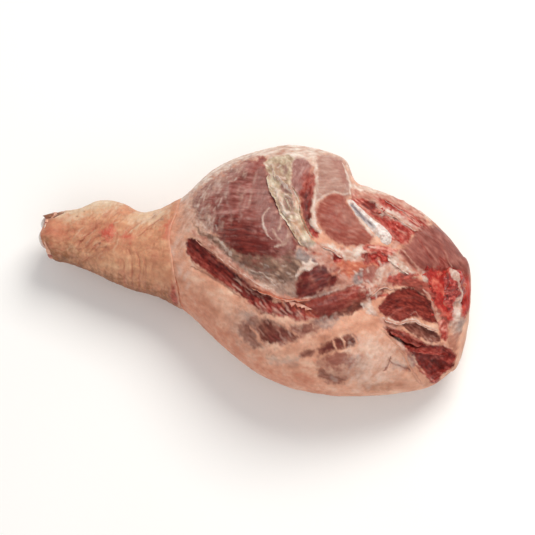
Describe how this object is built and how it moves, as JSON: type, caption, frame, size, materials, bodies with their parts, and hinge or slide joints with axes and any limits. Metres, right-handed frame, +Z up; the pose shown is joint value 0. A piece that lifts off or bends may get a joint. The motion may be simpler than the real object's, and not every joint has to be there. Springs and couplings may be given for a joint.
{
  "type": "raw ham leg",
  "caption": "Raw ham leg on the bone, skin left on the shank, trimmed inner face up, with sawn bone at hock and butt.",
  "frame": {"origin": "on the surface it lies on, under the middle of the leg's box", "axes": "+X from the hock to the butt, +Y towards the heel side, +Z up out of the cut inner face"},
  "size_m": [0.5758, 0.3264, 0.1805],
  "materials": {
    "flesh_and_fat": "moist raw pork: dusky red lean under a thin pale veil, cream-pink fat cover, orange-pink skin on the shank",
    "cartilage": "wet blue-grey cartilage with a white rounded end",
    "spongy_bone": "sawn spongy bone, bright red with pale nubs and dark pits",
    "joint_end": "smooth grey-pink joint cartilage in the hock cut"
  },
  "bodies": {
    "root": {"leg": "flesh_and_fat", "aitch_bone": "cartilage", "hip_bone": "spongy_bone", "hock_bone": "joint_end"}
  },
  "joints": []
}
